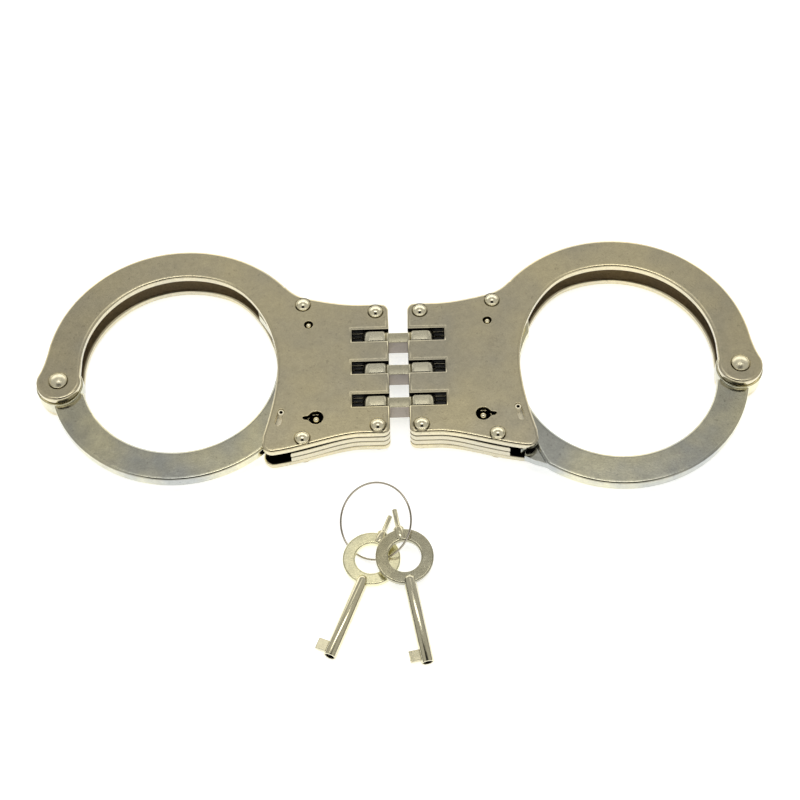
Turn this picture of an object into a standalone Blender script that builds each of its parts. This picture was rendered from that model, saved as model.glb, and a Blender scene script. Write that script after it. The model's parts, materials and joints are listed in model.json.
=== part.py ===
"""Hinged double-locking handcuffs with two keys on a wire ring, in metres, +Z up.

The cuffs lie flat on their lower rivet heads, mirrored left and right about X = 0. The three hinge links
run along X at the middle, and the single bows are on the near side (-Y). Lengths below are in millimetres.
"""

import bmesh
import bpy
from math import cos, radians, sin
from mathutils import Matrix, Vector

MM = 0.001
ORIGIN_SHIFT_Y = 25.82  # from the hinge row to the middle of the whole set, keys included

# Stack of layers, from the surface up
HEAD_HEIGHT = 1.05  # rivet head above a cheek plate
PLATE = 2.6  # cheek plate thickness
GAP = 0.3  # between pieces that touch
FRAME = 2.4  # inner frame thickness, two of them
BOTTOM_LOW = HEAD_HEIGHT
BOTTOM_HIGH = BOTTOM_LOW + PLATE
FRAME_LOW_Z = (BOTTOM_HIGH + GAP, BOTTOM_HIGH + GAP + FRAME)
FRAME_HIGH_Z = (FRAME_LOW_Z[1] + GAP, FRAME_LOW_Z[1] + GAP + FRAME)
TOP_LOW = FRAME_HIGH_Z[1] + GAP
TOP_HIGH = TOP_LOW + PLATE
MID_Z = (BOTTOM_LOW + TOP_HIGH) / 2
TOTAL_HEIGHT = TOP_HIGH + HEAD_HEIGHT

# Cuff outline, seen from above, for the cuff on the +X side
PIVOT = (110.4, -2.2)  # the single bow's rivet
EYE_RADIUS = 7.2
RING_CENTRE = (70.9, 3.8)
RING_OUTER = 44.2
OPENING_CENTRE = (70.6, 4.3)
OPENING_RADIUS = 33.0
HINGE_EDGE_X = 3.15
SLOT_END_X = 15.1
SLOT_WIDTH = 4.6
LINK_ROWS = (-12.4, 0.0, 12.4)

# Rivets: place, and the radii of shank and head
BODY_RIVETS = {
    "outer_far": (31.3, 24.9),
    "outer_near": (31.0, -25.95),
    "inner_far": (7.3, 21.5),
    "inner_near": (7.0, -21.9),
}
BODY_SHANK, BODY_HEAD = 1.4, 2.25
PIVOT_SHANK, PIVOT_HEAD = 2.0, 2.95
FLAT_CROWN = 0.7  # radius of the flat on top of each head
SINK_DEPTH = 0.5  # countersink under each head
SINK_MARGIN = 0.4

# Hinge
PIN_X = 7.2
PIN_RADIUS = 1.5
PIN_HALF_LENGTH = 18.4
BORE_CLEARANCE = 0.3
LINK_WIDTH = 3.77
LINK_BARREL, LINK_CORNER = 4.65, 3.5
LINK_WAIST = 6.8

# Single bow, in polar places about its rivet: angle 0 points at the hinge
BOW_CENTRE_DISTANCE = 39.2
BOW_INNER, BOW_OUTER = 32.1, 42.4
BOW_THICKNESS = 4.1
HUB_RADIUS = 7.6
HUB_THICKNESS = 5.1
STEP_RADIUS = 72.3  # full thickness ends here, and the thinner toothed rim begins
RIM_Z = (MID_Z - 1.75, MID_Z + 1.2)
TOOTH_ROOT, TOOTH_TIP = 75.5, 77.2
TOOTH_PITCH = 2.0  # degrees
FIRST_TOOTH, TOOTH_COUNT = -24.5, 19
RAMP_START = -28.9
TIP_ANGLE = 19.0
CLOSED_ANGLE = {"left": 9.5, "right": 1.5}

# Lock work
PAWL_PIVOT = (29.4, 17.0)
PAWL_EYE, PAWL_PIN_RADIUS = 2.7, 0.75
PAWL_Z = (MID_Z - 1.45, MID_Z + 1.45)
PAWL_TEETH = (-1.0, -3.0, -5.0)
MESH_RADIAL, MESH_ANGLE = 0.5, 0.25
KEYHOLE = (26.7, -18.6)
KEYHOLE_RADIUS, KEYHOLE_NOTCH, NOTCH_WIDTH = 2.4, 4.3, 1.35
POST_RADIUS = 1.05
LOCK_SLOT_MIDDLE = (38.35, -18.1)
LOCK_SLOT_DIRECTION = (0.2326, -0.9726)
LOCK_SLOT_HALF, LOCK_SLOT_RADIUS = 2.1, 1.05
LOCK_TRAVEL = 3.9
SLIDE_Z = (TOP_LOW - 1.05, TOP_LOW - 0.25)

# Keys and their ring
KEY_BOW_OUTER, KEY_BOW_INNER, KEY_BOW_THICKNESS = 8.8, 5.15, 2.0
SHANK_RADIUS, SHANK_BORE = 2.0, 1.2
SHANK_TOP, SHANK_TIP = -5.9, -34.6
PEG_RADIUS, PEG_END = 0.65, 15.8
SADDLE_RADIUS, SADDLE_START = 1.75, 5.7
KEYS = {  # bow centre, heading from +Y in degrees, rise towards the peg in degrees
    "left": ((-9.7, -64.4, 2.0), -22.0, 0.0),
    "right": ((0.6, -65.4, 5.22), 10.5, 5.3),
}
RING_RADIUS, RING_WIRE = 12.0, 0.3
RING_PLACE = (-8.2, -53.55, 6.8)
RING_SLOPE_X, RING_SLOPE_Y = 24.7, 21.6


def arc(centre, radius, start, end, steps):
    """Points on an arc, both ends included, from one angle in degrees to another."""
    angles = [radians(start + (end - start) * i / steps) for i in range(steps + 1)]
    return [(centre[0] + radius * cos(a), centre[1] + radius * sin(a)) for a in angles]


def bezier(p0, p1, p2, p3, steps):
    """Points on a cubic curve, both ends included."""
    points = []
    for i in range(steps + 1):
        t = i / steps
        weights = ((1 - t) ** 3, 3 * t * (1 - t) ** 2, 3 * t * t * (1 - t), t**3)
        points.append(tuple(sum(w * p[k] for w, p in zip(weights, (p0, p1, p2, p3))) for k in (0, 1)))
    return points


def join(*pieces):
    """One closed outline from several runs of points, without the points that repeat."""
    points = []
    for piece in pieces:
        for p in piece:
            if not points or (Vector(p) - Vector(points[-1])).length > 0.01:
                points.append(p)
    if (Vector(points[0]) - Vector(points[-1])).length < 0.01:
        points.pop()
    return points


def circle(centre, radius, steps):
    return arc(centre, radius, 0, 360 * (steps - 1) / steps, steps - 1)


def about_pivot(radius, angle):
    """A place near the +X cuff's pivot: angle 0 points at the hinge, and positive angles go to +Y."""
    a = radians(angle)
    return (PIVOT[0] - radius * cos(a), PIVOT[1] + radius * sin(a))


def add_object(name, mesh, parent):
    obj = bpy.data.objects.new(name, mesh)
    bpy.context.scene.collection.objects.link(obj)
    obj.parent = parent
    return obj


def mesh_from(bm, name):
    bmesh.ops.recalc_face_normals(bm, faces=bm.faces)
    mesh = bpy.data.meshes.new(name)
    bm.to_mesh(mesh)
    bm.free()
    return mesh


def evaluated(obj, name):
    """A new mesh of what an object's modifiers or curve make."""
    bpy.context.view_layer.update()
    graph = bpy.context.evaluated_depsgraph_get()
    mesh = bpy.data.meshes.new_from_object(obj.evaluated_get(graph))
    mesh.name = name
    return mesh


def prism(name, outer, low, high, holes=()):
    """A flat plate between two heights, with holes, as a mesh in metres."""
    curve = bpy.data.curves.new(name, "CURVE")
    curve.dimensions = "2D"
    curve.fill_mode = "BOTH"
    curve.extrude = (high - low) / 2 * MM
    for loop in (outer, *holes):
        spline = curve.splines.new("POLY")
        spline.points.add(len(loop) - 1)
        spline.use_cyclic_u = True
        for point, (x, y) in zip(spline.points, loop):
            point.co = (x * MM, y * MM, 0, 1)
    scratch = add_object(name + "_outline", curve, None)
    mesh = evaluated(scratch, name)
    bpy.data.objects.remove(scratch)
    bpy.data.curves.remove(curve)
    bm = bmesh.new()
    bm.from_mesh(mesh)
    bpy.data.meshes.remove(mesh)
    bmesh.ops.remove_doubles(bm, verts=bm.verts, dist=0.001 * MM)
    bmesh.ops.translate(bm, verts=bm.verts, vec=(0, 0, (low + high) / 2 * MM))
    return mesh_from(bm, name)


def lathe(name, profile, steps):
    """A turned solid about Z from (radius, height) points; the first and last rings are capped."""
    bm = bmesh.new()
    rings = []
    for radius, height in profile:
        if radius == 0:
            rings.append([bm.verts.new((0, 0, height * MM))])
        else:
            rings.append([bm.verts.new((x * MM, y * MM, height * MM)) for x, y in circle((0, 0), radius, steps)])
    for low, high in zip(rings, rings[1:]):
        for i in range(steps):
            j = (i + 1) % steps
            corners = [low[i % len(low)], low[j % len(low)], high[j % len(high)], high[i % len(high)]]
            bm.faces.new(list(dict.fromkeys(corners)))
    for ring in (rings[0], rings[-1]):
        if len(ring) > 1:
            bm.faces.new(ring)
    return mesh_from(bm, name)


def box(name, low, high):
    bm = bmesh.new()
    bmesh.ops.create_cube(bm, size=1)
    size = Vector(high) - Vector(low)
    middle = (Vector(high) + Vector(low)) / 2
    bmesh.ops.scale(bm, vec=size * MM, verts=bm.verts)
    bmesh.ops.translate(bm, vec=middle * MM, verts=bm.verts)
    return mesh_from(bm, name)


def combine(mesh, other, operation):
    """The Boolean of two meshes, as a new mesh under the first one's name."""
    name = mesh.name
    first = add_object(name + "_first", mesh, None)
    second = add_object(name + "_second", other, None)
    step = first.modifiers.new(operation, "BOOLEAN")
    step.operation = operation
    step.solver = "EXACT"
    step.object = second
    result = evaluated(first, name + "_result")
    bpy.data.objects.remove(first)
    bpy.data.objects.remove(second)
    bpy.data.meshes.remove(mesh)
    bpy.data.meshes.remove(other)
    result.name = name
    return result


def together(meshes):
    """Several separate meshes as one, for use as a cutter."""
    bm = bmesh.new()
    for mesh in meshes:
        bm.from_mesh(mesh)
        bpy.data.meshes.remove(mesh)
    return mesh_from(bm, "cutter")


def moved(mesh, matrix):
    mesh.transform(matrix)
    return mesh


def shifted(mesh, x=0, y=0, z=0):
    return moved(mesh, Matrix.Translation(Vector((x, y, z)) * MM))


def mirrored(mesh, side):
    """The +X cuff's mesh, turned into the -X cuff's when side is -1."""
    if side < 0:
        mesh.transform(Matrix.Scale(-1, 4, Vector((1, 0, 0))))
        mesh.flip_normals()
    return mesh


def finish(name, mesh, colour, roughness, parent):
    """Places a mesh made in set coordinates under its parent, shades it and gives it its own metal."""
    mesh.name = name
    bpy.context.view_layer.update()
    mesh.transform(Matrix.Translation(-(parent.matrix_world.translation - SET_ROOT.location)))
    mesh.shade_smooth()
    mesh.set_sharp_from_angle(angle=radians(32))
    material = bpy.data.materials.new(name + "_metal")
    material.use_nodes = True
    shader = material.node_tree.nodes["Principled BSDF"]
    shader.inputs["Base Color"].default_value = (*colour, 1)
    shader.inputs["Roughness"].default_value = roughness
    shader.inputs["Metallic"].default_value = 1.0
    mesh.materials.clear()
    mesh.materials.append(material)
    return add_object(name, mesh, parent)


def axis_empty(name, place, parent=None):
    """An empty on a joint's axis, in set coordinates."""
    empty = add_object(name, None, parent)
    offset = Vector(place) * MM
    if parent:
        bpy.context.view_layer.update()
        offset -= parent.matrix_world.translation - SET_ROOT.location
    empty.location = offset
    return empty


NICKEL = (0.50, 0.47, 0.38)
NICKEL_BRIGHT = (0.72, 0.70, 0.62)
NICKEL_BOW = (0.48, 0.47, 0.42)
SPRING_STEEL = (0.35, 0.35, 0.36)
KEY_NICKEL = (0.60, 0.57, 0.45)


def cuff_outline():
    """The cheek plate of the +X cuff: lock body, double bow and eye in one outline, slots included."""
    slots = []
    for row in reversed(LINK_ROWS):
        half = SLOT_WIDTH / 2
        slots += [(HINGE_EDGE_X, row + half), (SLOT_END_X, row + half)]
        slots += [(SLOT_END_X, row - half), (HINGE_EDGE_X, row - half)]
    return join(
        arc((5.6, 22.2), 2.45, 90, 180, 4),
        slots,
        arc((5.45, -22.65), 2.3, 180, 270, 4),
        bezier((12.5, -24.95), (19.5, -25.0), (31.0, -29.6), (39.84, -30.83), 6),
        arc((40.5, -27.6), 3.3, -101, 14, 6),
        bezier((43.6, -24.8), (41.5, -17.1), (39.4, -8.0), (39.4, 1.0), 5),
        bezier((39.4, 1.0), (39.4, 14.0), (46.7, 29.5), (56.65, 34.2), 7),
        arc(OPENING_CENTRE, OPENING_RADIUS, 115, 4, 18),
        arc(PIVOT, EYE_RADIUS, 163, 385, 16),
        bezier((116.93, 0.84), (115.9, 3.1), (115.16, 6.5), (114.67, 9.95), 3),
        arc(RING_CENTRE, RING_OUTER, 8, 139.3, 24),
        bezier((37.2, 32.6), (34.9, 29.9), (32.4, 28.3), (29.5, 27.6), 4),
        bezier((29.5, 27.6), (24.65, 26.4), (18.5, 24.8), (12.5, 24.75), 4),
    )


def frame_outline():
    """An inner frame: the lock body's rim, open towards the bow, with the lock's pocket inside it."""
    slots = []
    for row in reversed(LINK_ROWS):
        half = SLOT_WIDTH / 2
        slots += [(HINGE_EDGE_X, row + half), (SLOT_END_X, row + half)]
        slots += [(SLOT_END_X, row - half), (HINGE_EDGE_X, row - half)]
    return join(
        arc((5.6, 22.2), 2.45, 90, 180, 4),
        slots,
        arc((5.45, -22.65), 2.3, 180, 270, 4),
        bezier((12.5, -24.95), (18.5, -25.0), (25.5, -28.15), (34.8, -30.1), 5),
        [(33.0, -23.9), (24.0, -23.9), (20.0, -21.0), (17.6, -16.0), (17.6, 20.2), (19.0, 21.3), (33.0, 21.3)],
        [(34.4, 28.8)],
        bezier((29.5, 27.6), (24.65, 26.4), (18.5, 24.8), (12.5, 24.75), 4),
    )


def keyhole_outline():
    """A round hole with a notch towards the opening for the key's bit."""
    half = NOTCH_WIDTH / 2
    reach = KEYHOLE[0] + KEYHOLE_NOTCH
    return join(
        arc(KEYHOLE, KEYHOLE_RADIUS, 35, 325, 13),
        [(KEYHOLE[0] + 2.9, KEYHOLE[1] - half), (reach - 0.4, KEYHOLE[1] - half)],
        [(reach, KEYHOLE[1] - half / 2), (reach, KEYHOLE[1] + half / 2)],
        [(reach - 0.4, KEYHOLE[1] + half), (KEYHOLE[0] + 2.9, KEYHOLE[1] + half)],
    )


def along_lock(forward, outward, start=(0.0, 0.0)):
    """A place measured along the double-lock slot and away from the pivot."""
    dx, dy = LOCK_SLOT_DIRECTION
    return (start[0] + forward * dx + outward * dy, start[1] + forward * dy - outward * dx)


def lock_slot_outline():
    ends = [along_lock(s * LOCK_SLOT_HALF, 0, LOCK_SLOT_MIDDLE) for s in (1, -1)]
    heading = -76.55  # of LOCK_SLOT_DIRECTION
    near = arc(ends[0], LOCK_SLOT_RADIUS, heading - 90, heading + 90, 4)
    far = arc(ends[1], LOCK_SLOT_RADIUS, heading + 90, heading + 270, 4)
    return join(near, far)


def rivet_cutter(place, shank, head, surface, up, steps=12):
    """A rivet's bore and its countersink; up is 1 on a top face and -1 on a lower one."""
    hole = shank + BORE_CLEARANCE
    rim = head + SINK_MARGIN
    slope = (rim - hole) / SINK_DEPTH
    profile = [(hole, -PLATE - 1), (hole, -SINK_DEPTH), (rim + 0.3 * slope, 0.3)]
    mesh = lathe("sink", [(r, surface + up * z) for r, z in profile], steps)
    return shifted(mesh, *place)


def cheek_plate(side_name, side, level, parent):
    """Top or bottom cheek plate with its rivet holes, and on top the keyhole and the double-lock slot."""
    top = level == "top"
    low, high = (TOP_LOW, TOP_HIGH) if top else (BOTTOM_LOW, BOTTOM_HIGH)
    if top:
        holes = [keyhole_outline(), lock_slot_outline(), circle(PAWL_PIVOT, 1.5, 12)]
    else:
        holes = [circle(PAWL_PIVOT, PAWL_PIN_RADIUS + BORE_CLEARANCE, 10)]
        holes.append(circle(KEYHOLE, POST_RADIUS + BORE_CLEARANCE, 10))
    name = f"{side_name}_cheek_plate_{level}"
    mesh = prism(name, cuff_outline(), low, high, holes)
    surface, up = (high, 1) if top else (low, -1)
    sinks = [rivet_cutter(place, BODY_SHANK, BODY_HEAD, surface, up) for place in BODY_RIVETS.values()]
    sinks.append(rivet_cutter(PIVOT, PIVOT_SHANK, PIVOT_HEAD, surface, up, 16))
    mesh = combine(mesh, together(sinks), "DIFFERENCE")
    finish(name, mirrored(mesh, side), NICKEL, 0.34, parent)


def inner_frame(side_name, side, level, parent):
    """One of the two layers between the cheek plates, with half of the hinge pin's bore."""
    low, high = FRAME_HIGH_Z if level == "top" else FRAME_LOW_Z
    name = f"{side_name}_inner_frame_{level}"
    holes = [circle(place, BODY_SHANK + BORE_CLEARANCE, 12) for place in BODY_RIVETS.values()]
    mesh = prism(name, frame_outline(), low, high, holes)
    bore = lathe("bore", [(PIN_RADIUS + BORE_CLEARANCE, s * (PIN_HALF_LENGTH + GAP)) for s in (-1, 1)], 16)
    moved(bore, Matrix.Rotation(radians(90), 4, "X"))
    mesh = combine(mesh, shifted(bore, PIN_X, 0, MID_Z), "DIFFERENCE")
    finish(name, mirrored(mesh, side), NICKEL, 0.36, parent)


def rivet(name, place, shank, head, side, parent):
    """A rivet with a low domed head at each end, sunk a little into its countersinks."""
    crown = [(FLAT_CROWN, HEAD_HEIGHT), (head * 0.64, HEAD_HEIGHT * 0.86), (head * 0.9, HEAD_HEIGHT * 0.5)]
    under = [(head, 0.2), (shank, 0.3 - SINK_DEPTH)]
    half = (TOP_HIGH - BOTTOM_LOW) / 2
    upper = [(r, MID_Z + half + z) for r, z in crown + under]
    lower = [(r, MID_Z - half - z) for r, z in reversed(crown + under)]
    mesh = shifted(lathe(name, upper + lower, 12), *place)
    finish(name, mirrored(mesh, side), NICKEL_BRIGHT, 0.16, parent)


def tooth_points():
    """The rim's outer edge from its first tooth to its last: a slope, then a steep face up again."""
    points = []
    for i in range(TOOTH_COUNT):
        face = FIRST_TOOTH + i * TOOTH_PITCH
        points += [(TOOTH_ROOT, face), (TOOTH_TIP, face)] if i else [(TOOTH_TIP, face)]
    points.append((TOOTH_ROOT, FIRST_TOOTH + TOOTH_COUNT * TOOTH_PITCH))
    return points


def bow_place(radius, angle):
    """A place about the single bow's own rivet, with +X towards the bow's centre."""
    a = radians(angle)
    return (radius * cos(a), radius * sin(a))


def single_bow(side_name, side, parent):
    """The ratchet bow: hub, arm, and a thinner toothed rim along the outside of its free end."""
    name = f"{side_name}_single_bow"
    centre = (BOW_CENTRE_DISTANCE, 0)
    nose = bow_place(74.2, TIP_ANGLE)
    arm = join(
        arc(centre, BOW_OUTER, -176, -56.2, 22),
        [bow_place(STEP_RADIUS, a) for a in (-28.4, -23, -17, -11, -5, 1, 7, 13, 16.5)],
        [bow_place(72.6, 18.3), bow_place(71.6, 17.6)],
        arc(centre, BOW_INNER, 27.5, -173, 34),
    )
    rim = join(
        [bow_place(70.9, a) for a in (14.5, 8, 1, -6, -13, -20, -27)],
        [bow_place(STEP_RADIUS - 0.3, RAMP_START), bow_place(74.9, -26.6)],
        [bow_place(r, a) for r, a in tooth_points()],
        [bow_place(75.9, TIP_ANGLE - 2.6), bow_place(75.2, TIP_ANGLE - 0.6), nose],
        [bow_place(73.0, TIP_ANGLE - 0.3), bow_place(71.9, TIP_ANGLE - 1.7)],
    )
    half = BOW_THICKNESS / 2
    mesh = prism(name, arm, MID_Z - half, MID_Z + half)
    rim_mesh = prism("rim", rim, *RIM_Z)
    mesh = combine(mesh, rim_mesh, "UNION")
    hub = prism("hub", circle((0, 0), HUB_RADIUS, 40), MID_Z - HUB_THICKNESS / 2, MID_Z + HUB_THICKNESS / 2)
    mesh = combine(mesh, hub, "UNION")
    hole = prism("hole", circle((0, 0), PIVOT_SHANK + BORE_CLEARANCE, 16), 0, TOTAL_HEIGHT)
    mesh = combine(mesh, hole, "DIFFERENCE")
    # The bow's own +X points at the hinge, which is -X on the +X cuff.
    mesh.transform(Matrix.Scale(-1, 4, Vector((1, 0, 0))))
    mesh.flip_normals()
    turned = Matrix.Rotation(radians(-CLOSED_ANGLE[side_name]), 4, "Z")
    mesh = shifted(moved(mesh, turned), *PIVOT)
    finish(name, mirrored(mesh, side), NICKEL_BOW, 0.36, parent)


def pawl(side_name, side, parent):
    """The sprung lock bar: an eye at its pin, three teeth in the bow's teeth, and a tail for the key."""
    name = f"{side_name}_pawl"
    teeth = []
    for face in PAWL_TEETH:
        edge = face - MESH_ANGLE
        teeth.append(about_pivot(TOOTH_TIP + MESH_RADIAL, edge))
        teeth.append(about_pivot(TOOTH_ROOT + MESH_RADIAL, edge))
    outline = join(
        arc(PAWL_PIVOT, PAWL_EYE, -20, 190, 12),
        [(29.4, 9.0), (31.2, 2.0), (31.4, -12.2), (28.3, -12.9), (28.3, -15.5), (32.6, -15.5)],
        [about_pivot(TOOTH_TIP + MESH_RADIAL, PAWL_TEETH[-1] - TOOTH_PITCH - MESH_ANGLE)],
        list(reversed(teeth)),
        [about_pivot(78.2, 3.0), about_pivot(78.6, 8.0)],
    )
    mesh = prism(name, outline, *PAWL_Z, [circle(PAWL_PIVOT, PAWL_PIN_RADIUS + BORE_CLEARANCE, 10)])
    finish(name, mirrored(mesh, side), SPRING_STEEL, 0.4, parent)


def pawl_spring(side_name, side, parent):
    """A leaf bent from the pocket's far corner to the pawl's back."""
    name = f"{side_name}_pawl_spring"
    half = 0.22
    path = [Vector(p) for p in bezier((18.6, 20.2), (18.6, 3.0), (24.0, -3.5), (30.7, -4.0), 8)]
    near, far = [], []
    for i, p in enumerate(path):
        run = path[min(i + 1, len(path) - 1)] - path[max(i - 1, 0)]
        across = Vector((-run.y, run.x)).normalized() * half
        near.append(tuple(p + across))
        far.append(tuple(p - across))
    mesh = prism(name, near + far[::-1], PAWL_Z[0] + 0.2, PAWL_Z[1] - 0.2)
    finish(name, mirrored(mesh, side), SPRING_STEEL, 0.3, parent)


def pin(name, place, radius, low, high, side, parent):
    """A plain round pin with its ends chamfered."""
    edge = radius * 0.25
    profile = [(radius - edge, low), (radius, low + edge), (radius, high - edge), (radius - edge, high)]
    mesh = shifted(lathe(name, profile, 12), *place)
    finish(name, mirrored(mesh, side), NICKEL_BRIGHT, 0.2, parent)


def double_lock_slide(side_name, side, parent):
    """A thin bar under the top plate: a hollow stud in the slot, and a lug that can stand behind the pawl."""
    name = f"{side_name}_double_lock_slide"
    start = along_lock(0.15 - LOCK_SLOT_HALF, 0, LOCK_SLOT_MIDDLE)

    def at(forward, outward):
        return along_lock(forward, outward, start)

    bar = [at(5.3, -1.3), at(5.3, 1.5), at(-7.2, 1.5), at(-7.2, 10.6), at(-9.9, 10.6), at(-9.9, -1.3)]
    mesh = prism(name, bar, *SLIDE_Z)
    lug_corners = [(25.8, -11.3), (27.0, -11.3), (27.0, -9.1), (25.8, -9.1)]
    lug = prism("lug", lug_corners, PAWL_Z[0] + 0.3, SLIDE_Z[0] + 0.4)
    mesh = combine(mesh, lug, "UNION")
    stud_profile = [(0.8, SLIDE_Z[0] + 0.4), (0.8, TOP_HIGH - 0.35), (0.65, TOP_HIGH - 0.2)]
    stud_profile += [(0.45, TOP_HIGH - 0.2), (0.4, TOP_HIGH - 0.9)]
    mesh = combine(mesh, shifted(lathe("stud", stud_profile, 12), *start), "UNION")
    finish(name, mirrored(mesh, side), NICKEL_BRIGHT, 0.3, parent)


def hinge_pin(side_name, side, parent):
    name = f"{side_name}_hinge_pin"
    mesh = lathe(name, [(PIN_RADIUS, -PIN_HALF_LENGTH), (PIN_RADIUS, PIN_HALF_LENGTH)], 16)
    moved(mesh, Matrix.Rotation(radians(90), 4, "X"))
    finish(name, mirrored(shifted(mesh, PIN_X, 0, MID_Z), side), NICKEL_BRIGHT, 0.25, parent)


def hinge_link(name, row, parent):
    """A dog-bone link on edge: a barrel around each hinge pin and a waist between them."""
    waist = LINK_WAIST / 2
    quarter = join(
        [(PIN_X + LINK_BARREL, 0)],
        arc((PIN_X + LINK_BARREL - LINK_CORNER, LINK_BARREL - LINK_CORNER), LINK_CORNER, 0, 90, 6),
        bezier((6.0, LINK_BARREL), (4.6, LINK_BARREL), (4.4, waist), (2.6, waist), 4),
    )
    far_half = quarter + [(-x, z) for x, z in reversed(quarter)]
    outline = far_half + [(x, -z) for x, z in reversed(far_half[1:-1])]
    bores = [circle((s * PIN_X, 0), PIN_RADIUS + BORE_CLEARANCE, 14) for s in (1, -1)]
    mesh = prism(name, outline, -LINK_WIDTH / 2, LINK_WIDTH / 2, bores)
    moved(mesh, Matrix.Rotation(radians(90), 4, "X"))
    finish(name, shifted(mesh, 0, row, MID_Z), NICKEL_BRIGHT, 0.28, parent)


def cuff(side_name, side):
    """One cuff: the fixed pieces under the fold axis, and the bow, pawl and slide under their own."""
    fold = axis_empty(f"{side_name}_fold_axis", (side * PIN_X, 0, MID_Z), SET_ROOT)
    bow_axis = axis_empty(f"{side_name}_bow_axis", (side * PIVOT[0], PIVOT[1], MID_Z), fold)
    pawl_axis = axis_empty(f"{side_name}_pawl_axis", (side * PAWL_PIVOT[0], PAWL_PIVOT[1], MID_Z), fold)
    for level in ("top", "bottom"):
        cheek_plate(side_name, side, level, fold)
        inner_frame(side_name, side, level, fold)
    for place_name, place in BODY_RIVETS.items():
        rivet(f"{side_name}_rivet_{place_name}", place, BODY_SHANK, BODY_HEAD, side, fold)
    rivet(f"{side_name}_rivet_pivot", PIVOT, PIVOT_SHANK, PIVOT_HEAD, side, fold)
    pin(f"{side_name}_pawl_pin", PAWL_PIVOT, PAWL_PIN_RADIUS, BOTTOM_LOW, TOP_HIGH - 0.6, side, fold)
    pin(f"{side_name}_key_post", KEYHOLE, POST_RADIUS, BOTTOM_LOW, TOP_HIGH - 0.9, side, fold)
    hinge_pin(side_name, side, fold)
    pawl_spring(side_name, side, fold)
    double_lock_slide(side_name, side, fold)
    pawl(side_name, side, pawl_axis)
    single_bow(side_name, side, bow_axis)


def key(side_name):
    """A key in three pieces: flat ring bow, hollow shank with its bit, and the double-lock peg."""
    centre, heading, rise = KEYS[side_name]
    place = Matrix.Translation(Vector(centre) * MM)
    place = place @ Matrix.Rotation(radians(heading), 4, "Z") @ Matrix.Rotation(radians(rise), 4, "X")
    axis = axis_empty(f"{side_name}_key_axis", centre, SET_ROOT)
    half = KEY_BOW_THICKNESS / 2
    bow = prism("bow", circle((0, 0), KEY_BOW_OUTER, 32), -half, half, [circle((0, 0), KEY_BOW_INNER, 24)])
    along_y = Matrix.Rotation(radians(-90), 4, "X")
    profile = [(0, SHANK_TOP), (1.1, SHANK_TOP - 0.15), (1.75, SHANK_TOP - 0.8), (SHANK_RADIUS, SHANK_TOP - 1.8)]
    profile += [(SHANK_RADIUS, SHANK_TIP + 0.2), (SHANK_RADIUS - 0.2, SHANK_TIP), (SHANK_BORE, SHANK_TIP)]
    profile += [(SHANK_BORE, SHANK_TIP + 12), (0, SHANK_TIP + 12)]
    shank = moved(lathe("shank", profile, 16), along_y)
    slot_half = half + 0.25
    slot = box("slot", (-3, -KEY_BOW_OUTER - GAP, -slot_half), (3, SHANK_TOP + 1, slot_half))
    shank = combine(shank, slot, "DIFFERENCE")
    bit = box("bit", (-5.1, SHANK_TIP + 0.9, -0.75), (-1.5, SHANK_TIP + 4.5, 0.75))
    shank = combine(shank, bit, "UNION")
    peg_profile = [(0, SADDLE_START), (1.2, SADDLE_START + 0.2), (SADDLE_RADIUS, SADDLE_START + 0.8)]
    peg_profile += [(SADDLE_RADIUS, KEY_BOW_OUTER + 0.5), (PEG_RADIUS, KEY_BOW_OUTER + 1.6)]
    peg_profile += [(PEG_RADIUS, PEG_END - 0.3), (PEG_RADIUS * 0.6, PEG_END)]
    peg = moved(lathe("peg", peg_profile, 12), along_y)
    slot = box("slot", (-3, SADDLE_START - 1, -slot_half), (3, KEY_BOW_OUTER + GAP, slot_half))
    peg = combine(peg, slot, "DIFFERENCE")
    for piece, mesh in (("bow", bow), ("shank", shank), ("peg", peg)):
        finish(f"{side_name}_key_{piece}", moved(mesh, place), KEY_NICKEL, 0.3, axis)


def key_ring():
    """The thin wire ring through both key bows, leaning up towards the cuffs."""
    axis = axis_empty("key_ring_axis", RING_PLACE, SET_ROOT)
    bm = bmesh.new()
    steps, sides = 40, 6
    loops = []
    for i in range(steps):
        turn = Matrix.Rotation(radians(360 * i / steps), 4, "Z")
        points = [Vector((RING_RADIUS + x, 0, z)) for x, z in circle((0, 0), RING_WIRE, sides)]
        loops.append([bm.verts.new(turn @ (p * MM)) for p in points])
    for i in range(steps):
        first, second = loops[i], loops[(i + 1) % steps]
        for j in range(sides):
            k = (j + 1) % sides
            bm.faces.new((first[j], first[k], second[k], second[j]))
    mesh = mesh_from(bm, "key_ring")
    lean = Matrix.Rotation(radians(-RING_SLOPE_X), 4, "Y") @ Matrix.Rotation(radians(RING_SLOPE_Y), 4, "X")
    moved(mesh, Matrix.Translation(Vector(RING_PLACE) * MM) @ lean)
    finish("key_ring", mesh, KEY_NICKEL, 0.25, axis)


for old in list(bpy.data.objects):
    bpy.data.objects.remove(old)

SET_ROOT = add_object("handcuffs", None, None)
SET_ROOT.location = (0, ORIGIN_SHIFT_Y * MM, 0)
cuff("left", -1)
cuff("right", 1)
for link_name, link_row in zip(("near", "middle", "far"), LINK_ROWS):
    hinge_link(f"hinge_link_{link_name}", link_row, SET_ROOT)
key("left")
key("right")
key_ring()
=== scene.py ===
"""Looks of the hinged handcuffs and their keys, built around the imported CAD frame.

Lengths below are in millimetres and angles in degrees, unless a comment says otherwise. Outlines are
drawn for the cuff on the +X side, with the middle of the hinge row at (0, 0), and mirrored for the other.
"""

import json
from math import asin, atan2, cos, degrees, radians, sin

import bmesh
import bpy
from mathutils import Matrix, Vector
from mathutils.geometry import tessellate_polygon

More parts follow.
